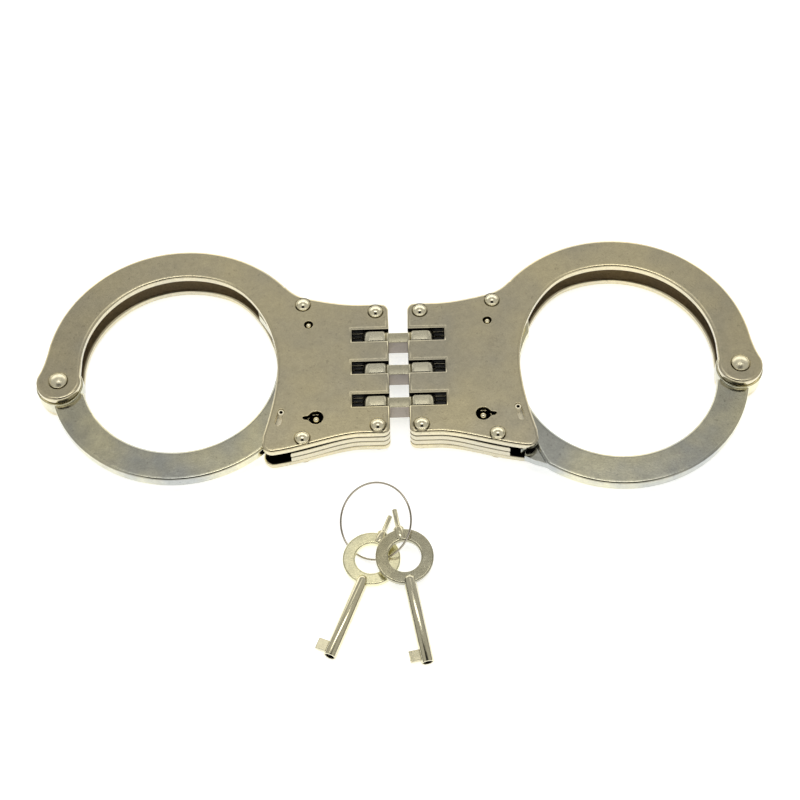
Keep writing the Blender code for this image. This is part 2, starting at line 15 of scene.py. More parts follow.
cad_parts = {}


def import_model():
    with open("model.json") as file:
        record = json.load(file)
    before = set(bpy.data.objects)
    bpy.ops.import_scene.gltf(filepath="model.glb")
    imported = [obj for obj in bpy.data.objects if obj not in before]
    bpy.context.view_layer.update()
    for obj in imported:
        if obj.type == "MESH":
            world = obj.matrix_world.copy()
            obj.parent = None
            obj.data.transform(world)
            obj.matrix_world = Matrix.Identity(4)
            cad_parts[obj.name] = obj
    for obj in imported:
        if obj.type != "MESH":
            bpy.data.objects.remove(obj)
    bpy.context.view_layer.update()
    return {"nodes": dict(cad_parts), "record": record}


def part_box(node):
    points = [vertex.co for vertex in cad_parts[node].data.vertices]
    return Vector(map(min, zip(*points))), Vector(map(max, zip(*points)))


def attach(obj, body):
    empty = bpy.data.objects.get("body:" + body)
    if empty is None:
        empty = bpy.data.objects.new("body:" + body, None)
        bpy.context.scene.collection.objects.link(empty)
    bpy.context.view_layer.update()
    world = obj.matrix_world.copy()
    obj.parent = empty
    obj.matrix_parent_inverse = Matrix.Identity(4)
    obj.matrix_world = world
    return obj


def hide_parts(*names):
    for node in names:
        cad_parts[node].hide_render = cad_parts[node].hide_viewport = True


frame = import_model()
MM = 0.001

# --------------------------------------------------------------------------------------------------
# Places taken from the frame


def box_mm(node):
    """A node's lowest and highest corners in millimetres."""
    low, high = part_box(node)
    return [v / MM for v in low], [v / MM for v in high]


def joint_mm(name):
    for joint in frame["record"]["behaviour"]["joints"]:
        if joint["name"] == name:
            return [v / MM for v in joint["pos_m"]]
    raise KeyError(name)


LINK_LOW, LINK_HIGH = box_mm("hinge_link_middle")
ORIGIN_Y = (LINK_LOW[1] + LINK_HIGH[1]) / 2
LAYERS = {}
for layer in ("cheek_plate_bottom", "inner_frame_bottom", "inner_frame_top", "cheek_plate_top"):
    layer_low, layer_high = box_mm("right_" + layer)
    LAYERS[layer] = (layer_low[2], layer_high[2])
BOTTOM_LOW, TOP_HIGH = LAYERS["cheek_plate_bottom"][0], LAYERS["cheek_plate_top"][1]
TOP_LOW = LAYERS["cheek_plate_top"][0]
MID_Z = (BOTTOM_LOW + TOP_HIGH) / 2
HEAD_HEIGHT = BOTTOM_LOW  # the cuffs lie on the heads of their rivets
PIVOT = (joint_mm("right_bow_swing")[0], joint_mm("right_bow_swing")[1] - ORIGIN_Y)
PAWL_PIVOT = (joint_mm("right_pawl_lift")[0], joint_mm("right_pawl_lift")[1] - ORIGIN_Y)
PIN_X = joint_mm("right_fold")[0]

# --------------------------------------------------------------------------------------------------
# Shape: the CAD's sizes, some of them changed by tenths of a millimetre to look as in the photo

EYE_RADIUS = 7.2
RING_CENTRE, RING_OUTER = (70.9, 3.8), 44.2
OPENING_CENTRE, OPENING_RADIUS = (70.6, 4.3), 33.0
HINGE_EDGE_X, SLOT_END_X, SLOT_WIDTH = 3.15, 15.1, 4.6
LINK_ROWS = {"near": -12.4, "middle": 0.0, "far": 12.4}
BODY_RIVETS = {
    "outer_far": (31.3, 24.9),
    "outer_near": (31.0, -25.95),
    "inner_far": (7.3, 21.5),
    "inner_near": (7.0, -21.9),
}
BODY_SHANK, BODY_HEAD = 1.4, 2.25
PIVOT_SHANK, PIVOT_HEAD = 2.0, 2.85
SINK_DEPTH, SINK_MARGIN, CLEARANCE = 0.5, 0.4, 0.3
# The rounded lip of a rivet's countersink, as (distance past its rim, height over the face)
SINK_LIP = ((0.20, 0.0), (0.06, 0.0), (0.0, -0.05), (-0.06, -0.16))
# A rivet's brim, as (share of the head's radius, height over the plate)
BRIM = ((0.84, 0.27), (0.87, 0.33), (0.91, 0.36), (0.95, 0.32), (0.98, 0.22), (1.0, 0.10), (1.0, 0.03))
BODY_DOME, PIVOT_DOME = (0.82, 0.32), (0.90, 0.22)  # where the dome meets the brim, in the same terms
# Rounding of the plates' and bows' edges: its depth, how many times wider it is, and its steps
EDGE, EDGE_SPREAD, EDGE_STEPS = 0.6, 1.7, 8
PIN_HALF_LENGTH = 18.4
PIN_RADIUS, LINK_BARREL, LINK_CORNER, LINK_WAIST, LINK_WIDTH = 1.5, 4.65, 2.6, 6.8, 3.77
# A link's barrels are painted lighter than its waist; BARREL_LOOK_X is where that painted tone begins.
BARREL_END_X, WAIST_START_X, BARREL_LOOK_X = 5.2, 2.9, 4.2  # the last: where a link's metal changes
BOW_CENTRE_DISTANCE, BOW_INNER, BOW_OUTER = 39.2, 32.1, 42.4
BOW_THICKNESS, HUB_RADIUS, HUB_THICKNESS = 4.1, 7.6, 5.1
STEP_RADIUS, RIM_DOWN, RIM_UP = 72.3, 1.75, 1.2
TOOTH_ROOT, TOOTH_TIP, TOOTH_BEVEL = 75.5, 77.2, 0.08  # radii round the pivot rivet
TOOTH_PITCH, TOOTH_FACE = 2.0, 0.1  # the second is the angle that a tooth's steep face takes up
FIRST_TOOTH, TOOTH_COUNT, RAMP_START, TIP_ANGLE = -24.5, 19, -28.9, 19.0
SHOULDER_START, SHOULDER_END = -28.4, 16.5  # where the arm ends in a step under the raised rim
RIM_START, RIM_SWEEP = 14.5, 41.5  # the rim's inner side, from its tip backwards
CLOSED_ANGLE = {"left": 9.5, "right": 1.5}
KEYHOLE, KEYHOLE_RADIUS, KEYHOLE_NOTCH, NOTCH_WIDTH = (26.7, -18.6), 2.4, 4.3, 1.35
POST_RADIUS, PAWL_PIN_RADIUS, PAWL_HOLE = 1.05, 0.85, 1.5
PIN_SUNK, POST_SUNK = 0.25, 0.9  # how far their ends lie under the plate's face
LOCK_SLOT_MIDDLE, LOCK_SLOT_DIRECTION = (38.35, -18.1), (0.2326, -0.9726)
LOCK_SLOT_HALF, LOCK_SLOT_RADIUS = 2.1, 1.05
STUD_RADIUS, STUD_HOLLOW, STUD_REST = 0.96, 0.56, 0.15  # the last: how far it stands from its slot's end
# Painted shade: faces painted black where shade falls, the walls of the pocket in the inner frames, and
# the plates' inner faces round the mouth that the bow runs through
POCKET_X, POCKET_Y, MOUTH_END_X = (17.0, 34.0), (-24.2, 21.6), 44
KEY_BOW_OUTER, KEY_BOW_INNER, KEY_BOW_THICKNESS = 9.0, 5.15, 2.0
SHANK_RADIUS, SHANK_BORE, SHANK_TOP, SHANK_TIP = 2.0, 1.45, -5.9, -34.6
SADDLE_RADIUS, SADDLE_START, PEG_RADIUS, PEG_END = 1.7, 5.8, 0.85, 16.1
KEYS = {  # bow centre, heading from +Y in degrees, rise towards the peg in degrees
    "left": ((-9.7, -64.4, 2.0), -22.0, 0.0),
    "right": ((0.6, -65.4, 5.22), 10.5, 5.3),
}
RING_RADIUS, RING_WIRE = 12.0, 0.36
RING_PLACE = (-8.2, -53.55, 6.8)
RING_SLOPE_X, RING_SLOPE_Y = 24.7, 21.6
BIT_REACH, BIT_START, BIT_LENGTH, BIT_HALF = 5.1, 0.9, 3.6, 0.75


# --------------------------------------------------------------------------------------------------
# Drawing


def arc(centre, radius, start, end, steps):
    angles = [radians(start + (end - start) * i / steps) for i in range(steps + 1)]
    return [(centre[0] + radius * cos(a), centre[1] + radius * sin(a)) for a in angles]


def bezier(p0, p1, p2, p3, steps):
    points = []
    for i in range(steps + 1):
        t = i / steps
        weights = ((1 - t) ** 3, 3 * t * (1 - t) ** 2, 3 * t * t * (1 - t), t**3)
        points.append(tuple(sum(w * p[k] for w, p in zip(weights, (p0, p1, p2, p3))) for k in (0, 1)))
    return points


def join(*pieces):
    """One closed outline from several runs of points, without the points that repeat."""
    points = []
    for piece in pieces:
        for p in piece:
            if not points or (Vector(p) - Vector(points[-1])).length > 0.02:
                points.append(p)
    if (Vector(points[0]) - Vector(points[-1])).length < 0.02:
        points.pop()
    return points


def circle(centre, radius, steps):
    return arc(centre, radius, 0, 360 * (steps - 1) / steps, steps - 1)


def area(loop):
    return sum(a[0] * b[1] - b[0] * a[1] for a, b in zip(loop, loop[1:] + loop[:1])) / 2


def offset(loop, distance):
    """The outline moved to its left by a distance, with mitred corners."""
    points = []
    for before, here, after in zip(loop[-1:] + loop[:-1], loop, loop[1:] + loop[:1]):
        t1 = (Vector(here) - Vector(before)).normalized()
        t2 = (Vector(after) - Vector(here)).normalized()
        n1, n2 = Vector((-t1.y, t1.x)), Vector((-t2.y, t2.x))
        shift = (n1 + n2) / max(0.35, 1 + n1.dot(n2))
        points.append((here[0] + shift.x * distance, here[1] + shift.y * distance))
    return points


def rounded(low, high, radius, steps=5, margin=0.14, spread=1.0):
    """A wall's profile as (distance into the material, height), from the top face to the bottom one.

    spread makes the rounding wider than it is deep, as on a plate's tumbled edge.
    """
    quarter = [radians(90 * i / steps) for i in range(steps + 1)]
    wide = radius * spread
    top = [(wide * (1 - sin(a)), high - radius * (1 - cos(a))) for a in quarter]
    bottom = [(wide * (1 - cos(a)), low + radius * (1 - sin(a))) for a in quarter]
    return [(wide + margin, high), *top, *bottom, (wide + margin, low)]


def build(name, walls):
    """A closed solid from walls, each (outline, profile, is a hole), with flat faces between them."""
    bm = bmesh.new()
    tops, bottoms = [], []
    for loop, profile, hole in walls:
        if (area(loop) > 0) == hole:
            loop = loop[::-1]
        rings = []
        for distance, height in profile:
            ring = offset(loop, distance)
            rings.append([bm.verts.new((x * MM, y * MM, height * MM)) for x, y in ring])
        for upper, lower in zip(rings, rings[1:]):
            for i in range(len(loop)):
                j = (i + 1) % len(loop)
                bm.faces.new((upper[i], lower[i], lower[j], upper[j]))
        tops.append(rings[0])
        bottoms.append(rings[-1])
    for rings in (tops, bottoms):
        verts = [v for ring in rings for v in ring]
        for a, b, c in tessellate_polygon([[v.co for v in ring] for ring in rings]):
            bm.faces.new((verts[a], verts[b], verts[c]))
    return mesh_from(bm, name)


def lathe(name, profile, steps=40):
    """A turned solid about Z from (radius, height) points; a radius of 0 closes it."""
    bm = bmesh.new()
    rings = []
    for radius, height in profile:
        if radius == 0:
            rings.append([bm.verts.new((0, 0, height * MM))])
        else:
            ring = circle((0, 0), radius, steps)
            rings.append([bm.verts.new((x * MM, y * MM, height * MM)) for x, y in ring])
    for low, high in zip(rings, rings[1:]):
        for i in range(steps):
            j = (i + 1) % steps
            corners = [low[i % len(low)], low[j % len(low)], high[j % len(high)], high[i % len(high)]]
            bm.faces.new(list(dict.fromkeys(corners)))
    return mesh_from(bm, name)


def mesh_from(bm, name):
    bmesh.ops.recalc_face_normals(bm, faces=bm.faces)
    mesh = bpy.data.meshes.new(name)
    bm.to_mesh(mesh)
    bm.free()
    return mesh


def joined(name, meshes):
    bm = bmesh.new()
    for mesh in meshes:
        bm.from_mesh(mesh)
        bpy.data.meshes.remove(mesh)
    return mesh_from(bm, name)


def moved(mesh, matrix):
    mesh.transform(matrix)
    return mesh


def shifted(mesh, x=0, y=0, z=0):
    return moved(mesh, Matrix.Translation(Vector((x, y, z)) * MM))


def mirrored(mesh, side):
    if side < 0:
        mesh.transform(Matrix.Scale(-1, 4, Vector((1, 0, 0))))
        mesh.flip_normals()
    return mesh


def piece(name, mesh, materials, body, nodes, sharp=38, kind=None):
    """Places a mesh drawn about the hinge row into the frame as a piece that stands for CAD nodes.

    kind gives a face's material by number, from the face's middle (as on the +X side) and its normal.
    """
    mesh.name = name
    for material in materials:
        mesh.materials.append(material)
    if kind:
        for face in mesh.polygons:
            x, y, z = face.center / MM
            face.material_index = kind(Vector((abs(x), y, z)), face.normal)
    mesh.transform(Matrix.Translation((0, ORIGIN_Y * MM, 0)))
    mesh.shade_smooth()
    mesh.set_sharp_from_angle(angle=radians(sharp))
    obj = bpy.data.objects.new(name, mesh)
    bpy.context.scene.collection.objects.link(obj)
    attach(obj, body)
    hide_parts(*nodes)
    return obj


# --------------------------------------------------------------------------------------------------
# Materials


# Patterns in the metal, as waves in a metre: broad blotches, stains, two mottles, pits, changes in the
# sheen, a fine grain and shallow dents
BLOTCHES, STAINS, MOTTLES, PITS, SHEEN, GRAIN, DENTS = 34, 110, (520, 1700), 800, 190, 1400, 160
WARM_LEAN, COOL_LEAN, STAIN_TINT = (1.0, 0.8, -0.4), (0.80, 0.95, 1.25), (0.62, 0.60, 0.62)
BUMP_HEIGHT = 0.0002  # metres


def metal(name, colour, roughness, blotch=0.05, mottle=0.05, pits=0.1, bump=0.05):
    """Nickel plate: slow blotches that lean warm or cool, a mottle, a satin grain and a few dark pits."""
    material = bpy.data.materials.new(name)
    material.use_nodes = True
    nodes, links = material.node_tree.nodes, material.node_tree.links
    shader = nodes["Principled BSDF"]
    shader.inputs["Metallic"].default_value = 1.0
    place = nodes.new("ShaderNodeTexCoord").outputs["Object"]

    def noise(scale, detail, rough=0.55):
        node = nodes.new("ShaderNodeTexNoise")
        for socket, value in (("Scale", scale), ("Detail", detail), ("Roughness", rough)):
            node.inputs[socket].default_value = value
        links.new(place, node.inputs["Vector"])
        return node.outputs["Fac"]

    def ramp(source, low, high, start, end):
        node = nodes.new("ShaderNodeMapRange")
        for socket, value in zip(("From Min", "From Max", "To Min", "To Max"), (low, high, start, end)):
            node.inputs[socket].default_value = value
        links.new(source, node.inputs["Value"])
        return node.outputs["Result"]

    def mix(factor, first, second, kind="MIX"):
        node = nodes.new("ShaderNodeMix")
        node.data_type = "RGBA"
        node.blend_type = kind
        for value, socket in ((factor, 0), (first, 6), (second, 7)):
            if isinstance(value, tuple):
                node.inputs[socket].default_value = (*value, 1)
            elif isinstance(value, float):
                node.inputs[socket].default_value = value
            else:
                links.new(value, node.inputs[socket])
        return node.outputs[2]

    def add(first, second):
        node = nodes.new("ShaderNodeMath")
        node.operation = "ADD"
        links.new(first, node.inputs[0])
        links.new(second, node.inputs[1])
        return node.outputs[0]

    slow = noise(BLOTCHES, 3)
    warm_side = tuple(c * (1 + blotch * k) for c, k in zip(colour, WARM_LEAN))
    dimmer = 1 - blotch * 1.6
    cool_side = tuple(c * dimmer * (1 + blotch * 2 * (k - 1)) for c, k in zip(colour, COOL_LEAN))
    base = mix(ramp(slow, 0.38, 0.66, 0.0, 1.0), warm_side, cool_side)
    stain = tuple(c * k for c, k in zip(colour, STAIN_TINT))
    base = mix(ramp(noise(STAINS, 4, 0.65), 0.60, 0.80, 0.0, min(1.0, blotch * 4)), base, stain)
    for scale, detail in zip(MOTTLES, (3, 1)):
        base = mix(1.0, base, ramp(noise(scale, detail), 0.3, 0.7, 1 - mottle, 1.0), "MULTIPLY")
    base = mix(1.0, base, ramp(noise(PITS, 1, 0.7), 0.27, 0.33, 1 - pits, 1.0), "MULTIPLY")
    links.new(base, shader.inputs["Base Color"])
    sheen = ramp(noise(SHEEN, 3), 0.3, 0.7, roughness - 0.025, roughness + 0.025)
    links.new(add(sheen, ramp(slow, 0.35, 0.7, -0.02, 0.02)), shader.inputs["Roughness"])
    lift = nodes.new("ShaderNodeBump")
    lift.inputs["Strength"].default_value = bump
    lift.inputs["Distance"].default_value = BUMP_HEIGHT
    relief = add(ramp(noise(GRAIN, 2), 0.2, 0.8, 0.0, 0.5), ramp(noise(DENTS, 2), 0.3, 0.7, 0.0, 1.0))
    links.new(relief, lift.inputs["Height"])
    links.new(lift.outputs["Normal"], shader.inputs["Normal"])
    return material


PLATE_METAL = metal("nickel_plate", (0.80, 0.735, 0.565), 0.14, blotch=0.09, mottle=0.09, pits=0.15)
BOW_METAL = metal("nickel_bow", (0.795, 0.78, 0.685), 0.12, blotch=0.18, mottle=0.10, pits=0.2)
BRIGHT_METAL = metal(
    "nickel_polished", (0.96, 0.91, 0.72), 0.09, blotch=0.02, mottle=0.02, pits=0.0, bump=0.015
)
PIVOT_METAL = metal(
    "nickel_pivot", (0.93, 0.88, 0.70), 0.30, blotch=0.03, mottle=0.04, pits=0.0, bump=0.02
)
LINK_METAL = metal("nickel_link", (0.70, 0.665, 0.52), 0.24, blotch=0.05, mottle=0.09, pits=0.2)
# Painted light: the barrels, down in the hinge slots, take a lighter copy of the link's nickel than the
# waist.
BARREL_LIT_METAL = metal("nickel_barrel_painted_lighter", (0.88, 0.84, 0.68), 0.26, blotch=0.05, mottle=0.09, pits=0.2)
# Painted shade: a darker copy of the link's nickel for the links' flanks, which lie in the plates' shade.
LINK_FLANK_SHADE_METAL = metal("link_flank_painted_shade", (0.42, 0.375, 0.34), 0.42, blotch=0.05, mottle=0.08, pits=0.2)
FRAME_METAL = metal("nickel_frame", (0.72, 0.67, 0.53), 0.17, blotch=0.05)
# Painted shade: a darker copy of the plate's nickel for the plates' inner faces, which lie in shade
# between the layers.
INNER_FACE_SHADE_METAL = metal("inner_face_painted_shade", (0.33, 0.27, 0.185), 0.38, blotch=0.08, mottle=0.2, pits=0.2)
# Painted shade: black for the hinge slots' walls, the mouth, the inner frames' faces and pocket, and the
# hollows in the stud, the key shanks and the pegs.
SHADE_BLACK_METAL = metal("painted_shade_black", (0.012, 0.010, 0.008), 0.5, blotch=0.08, mottle=0.35, pits=0.2)
SPRING_METAL = metal("spring_steel", (0.24, 0.22, 0.19), 0.36, blotch=0.03)
# Painted light and shade: one key nickel in two copies, the left key's painted lighter and the right
# key's painted darker, for how light falls on each.
LEFT_KEY_LIT_METAL = metal("nickel_key_left_painted_lighter", (0.93, 0.91, 0.69), 0.17, blotch=0.07, mottle=0.13)
RIGHT_KEY_SHADED_METAL = metal("nickel_key_right_painted_darker", (0.61, 0.585, 0.46), 0.17, blotch=0.09, mottle=0.13)
SHANK_METAL = metal("nickel_shank", (0.80, 0.765, 0.60), 0.13, blotch=0.04, mottle=0.06, pits=0.05)
SLIDE_METAL = metal("nickel_slide_painted_glow", (0.86, 0.80, 0.62), 0.45, blotch=0.03, pits=0.0)
# The slide's strip lies in shade in its slot; it is painted paler and given a painted glow, though it is
# no lamp, so that it looks as bright as the plate round it
SLIDE_SHADER = SLIDE_METAL.node_tree.nodes["Principled BSDF"]
SLIDE_SHADER.inputs["Metallic"].default_value = 0.1
SLIDE_SHADER.inputs["Emission Color"].default_value = (1.0, 0.94, 0.76, 1)
SLIDE_SHADER.inputs["Emission Strength"].default_value = 0.13
WIRE_METAL = metal("nickel_wire", (0.56, 0.52, 0.46), 0.05, blotch=0.03, mottle=0.02, pits=0.0)
KEY_METAL = {"left": LEFT_KEY_LIT_METAL, "right": RIGHT_KEY_SHADED_METAL}

# --------------------------------------------------------------------------------------------------
# Cuff outlines


def hinge_slots():
    points = []
    half = SLOT_WIDTH / 2
    for row in sorted(LINK_ROWS.values(), reverse=True):
        points += [(HINGE_EDGE_X, row + half), (SLOT_END_X, row + half)]
        points += [(SLOT_END_X, row - half), (HINGE_EDGE_X, row - half)]
    return points


def cuff_outline():
    return join(
        arc((5.6, 22.2), 2.45, 90, 180, 12),
        hinge_slots(),
        arc((5.45, -22.65), 2.3, 180, 270, 12),
        bezier((12.5, -24.95), (19.5, -25.0), (31.0, -29.6), (39.84, -30.83), 40),
        arc((40.5, -27.6), 3.3, -101, 14, 16),
        bezier((43.6, -24.8), (41.5, -17.1), (39.4, -8.0), (39.4, 1.0), 36),
        bezier((39.4, 1.0), (39.4, 14.0), (46.7, 29.5), (56.65, 34.2), 48),
        arc(OPENING_CENTRE, OPENING_RADIUS, 115, 4, 96),
        arc(PIVOT, EYE_RADIUS, 163, 385, 64),
        bezier((116.93, 0.84), (115.9, 3.1), (115.16, 6.5), (114.67, 9.95), 16),
        arc(RING_CENTRE, RING_OUTER, 8, 139.3, 140),
        bezier((37.2, 32.6), (34.9, 29.9), (32.4, 28.3), (29.5, 27.6), 24),
        bezier((29.5, 27.6), (24.65, 26.4), (18.5, 24.8), (12.5, 24.75), 28),
    )


def frame_outline():
    """The inner frames: the plates' outline round the hinges, cut out behind them for the lock."""
    pocket = [(33.0, -23.9), (24.0, -23.9), (20.0, -21.0), (17.6, -16.0)]
    pocket += [(17.6, 20.2), (19.0, 21.3), (33.0, 21.3), (34.4, 28.8)]
    return join(
        arc((5.6, 22.2), 2.45, 90, 180, 12),
        hinge_slots(),
        arc((5.45, -22.65), 2.3, 180, 270, 12),
        bezier((12.5, -24.95), (18.5, -25.0), (25.5, -28.15), (34.8, -30.1), 30),
        pocket,
        bezier((29.5, 27.6), (24.65, 26.4), (18.5, 24.8), (12.5, 24.75), 28),
    )


def keyhole_outline():
    half = NOTCH_WIDTH / 2
    reach = KEYHOLE[0] + KEYHOLE_NOTCH
    return join(
        arc(KEYHOLE, KEYHOLE_RADIUS, 35, 325, 40),
        bezier(
            (KEYHOLE[0] + 1.97, KEYHOLE[1] - 1.38),
            (KEYHOLE[0] + 2.4, KEYHOLE[1] - 0.85),
            (KEYHOLE[0] + 2.7, KEYHOLE[1] - half),
            (reach - half, KEYHOLE[1] - half),
            8,
        ),
        arc((reach - half, KEYHOLE[1]), half, -90, 90, 10),
        bezier(
            (reach - half, KEYHOLE[1] + half),
            (KEYHOLE[0] + 2.7, KEYHOLE[1] + half),
            (KEYHOLE[0] + 2.4, KEYHOLE[1] + 0.85),
            (KEYHOLE[0] + 1.97, KEYHOLE[1] + 1.38),
            8,
        ),
    )


def along_lock(forward, outward, start):
    """A place given by its distances along the double-lock slot and across it."""
    dx, dy = LOCK_SLOT_DIRECTION
    return (start[0] + forward * dx + outward * dy, start[1] + forward * dy - outward * dx)


def lock_slot_outline():
    ends = [along_lock(s * LOCK_SLOT_HALF, 0, LOCK_SLOT_MIDDLE) for s in (1, -1)]
    heading = degrees(atan2(LOCK_SLOT_DIRECTION[1], LOCK_SLOT_DIRECTION[0]))
    near = arc(ends[0], LOCK_SLOT_RADIUS, heading - 90, heading + 90, 14)
    far = arc(ends[1], LOCK_SLOT_RADIUS, heading + 90, heading + 270, 14)
    return join(near, far)


# --------------------------------------------------------------------------------------------------
# Cuff pieces


def rivet_wall(place, shank, head, low, high, surface_up):
    """A bore with its countersink on one face, as a wall of a plate."""
    bore = shank + CLEARANCE
    rim = head + SINK_MARGIN - bore
    sink = [(rim + d, z) for d, z in SINK_LIP] + [(0.0, -SINK_DEPTH)]
    if surface_up:
        profile = [(d, high + z) for d, z in sink] + [(0.0, low + 0.02), (0.15, low)]
    else:
        profile = [(0.15, high), (0.0, high - 0.02)] + [(d, low - z) for d, z in reversed(sink)]
    return circle(place, bore, 40), profile, True


def in_hinge_slot(middle, normal):
    """True on the walls of the hinge slots, away from their rounded edges."""
    reach = 0.12  # how far from a slot's outline its wall may lie
    beside = min(abs(middle.y - row) for row in LINK_ROWS.values()) < SLOT_WIDTH / 2 + reach
    within = HINGE_EDGE_X + 0.1 < middle.x < SLOT_END_X + reach
    return beside and within and abs(normal.z) < 0.75


def cheek_plate(name, side, level):
    low, high = LAYERS["cheek_plate_" + level]
    top = level == "top"
    walls = [(cuff_outline(), rounded(low, high, EDGE, EDGE_STEPS, spread=EDGE_SPREAD), False)]
    walls += [rivet_wall(place, BODY_SHANK, BODY_HEAD, low, high, top) for place in BODY_RIVETS.values()]
    walls.append(rivet_wall(PIVOT, PIVOT_SHANK, PIVOT_HEAD, low, high, top))
    small = rounded(low, high, 0.12, 3, 0.08)
    if top:
        walls.append((keyhole_outline(), rounded(low, high, 0.16, 3, 0.1), True))
        walls.append((lock_slot_outline(), small, True))
        walls.append((circle(PAWL_PIVOT, PAWL_HOLE, 32), small, True))
    else:
        walls.append((circle(PAWL_PIVOT, PAWL_PIN_RADIUS + CLEARANCE, 24), small, True))
        walls.append((circle(KEYHOLE, POST_RADIUS + CLEARANCE, 24), small, True))
    node = f"{name}_cheek_plate_{level}"
    mesh = mirrored(build(node, walls), side)
    inner_z = low if top else high

    # Painted shade: the inner faces take the darker copy; the mouth's inner faces and the hinge slots'
    # walls take black.
    def kind(middle, normal):
        inner = abs(middle.z - inner_z) < 0.1
        mouth = inner and middle.x < MOUTH_END_X and middle.y < 0
        return 2 if mouth or in_hinge_slot(middle, normal) else int(inner)

    materials = (PLATE_METAL, INNER_FACE_SHADE_METAL, SHADE_BLACK_METAL)
    piece(f"{name}_plate_{level}", mesh, materials, f"{name}_cuff", [node], kind=kind)


def inner_frame(name, side, level):
    node = f"{name}_inner_frame_{level}"
    low, high = LAYERS["inner_frame_" + level]
    walls = [(frame_outline(), rounded(low, high, 0.42, 4, 0.1), False)]
    small = rounded(low, high, 0.05, 2, 0.05)
    walls += [(circle(place, BODY_SHANK + CLEARANCE, 24), small, True) for place in BODY_RIVETS.values()]
    mesh = mirrored(build(node, walls), side)

    # Painted shade: the pocket's walls, the hinge slots' walls and the frame's flat faces, which lie in
    # shade between the plates, take black.
    def kind(middle, normal):
        pocket = POCKET_X[0] < middle.x < POCKET_X[1] and POCKET_Y[0] < middle.y < POCKET_Y[1]
        flat = abs(normal.z) > 0.9
        return int(pocket or in_hinge_slot(middle, normal) or flat)

    piece(f"{name}_frame_{level}", mesh, (FRAME_METAL, SHADE_BLACK_METAL), f"{name}_cuff", [node], kind=kind)


def rivet(name, side, spot):
    """A rivet with a head at both ends: a shallow dome with a thin raised brim round it."""
    if spot == "pivot":
        place, shank, head = PIVOT, PIVOT_SHANK, PIVOT_HEAD
        (dome_share, foot), material = PIVOT_DOME, PIVOT_METAL
    else:
        place, shank, head = BODY_RIVETS[spot], BODY_SHANK, BODY_HEAD
        (dome_share, foot), material = BODY_DOME, BRIGHT_METAL
    node = f"{name}_rivet_{spot}"
    crown = head * dome_share
    rise = HEAD_HEIGHT - foot
    ball = (crown * crown + rise * rise) / (2 * rise)
    steps = 12
    dome = []
    for i in range(steps + 1):
        a = asin(crown / ball) * i / steps
        dome.append((ball * sin(a), HEAD_HEIGHT - ball * (1 - cos(a))))
    brim = [(share, z) for share, z in BRIM if share > dome_share and z < foot + 0.15]
    under = [(head * share, z) for share, z in brim] + [(head - 0.06, 0.0), (shank, 0.3 - SINK_DEPTH)]
    half = (TOP_HIGH - BOTTOM_LOW) / 2
    upper = [(r, MID_Z + half + z) for r, z in dome + under]
    lower = [(r, MID_Z - half - z) for r, z in reversed(dome + under)]
    mesh = mirrored(shifted(lathe(node, upper + lower, 48), *place), side)
    piece(f"{name}_{spot}_rivet", mesh, (material,), f"{name}_cuff", [node], 50)


def bow_place(radius, angle):
    """A place on the single bow, from its distance from the pivot rivet and its angle round it."""
    a = radians(angle)
    return (radius * cos(a), radius * sin(a))


def tooth_points():
    points = []
    for i in range(TOOTH_COUNT):
        face = FIRST_TOOTH + i * TOOTH_PITCH
        if i:
            points.append((TOOTH_ROOT, face + TOOTH_FACE))
        points += [(TOOTH_TIP - TOOTH_BEVEL, face), (TOOTH_TIP, face + TOOTH_FACE)]
    points.append((TOOTH_ROOT, FIRST_TOOTH + TOOTH_COUNT * TOOTH_PITCH))
    return points


def bow_bezier(*controls, steps):
    return bezier(*(bow_place(radius, angle) for radius, angle in controls), steps)


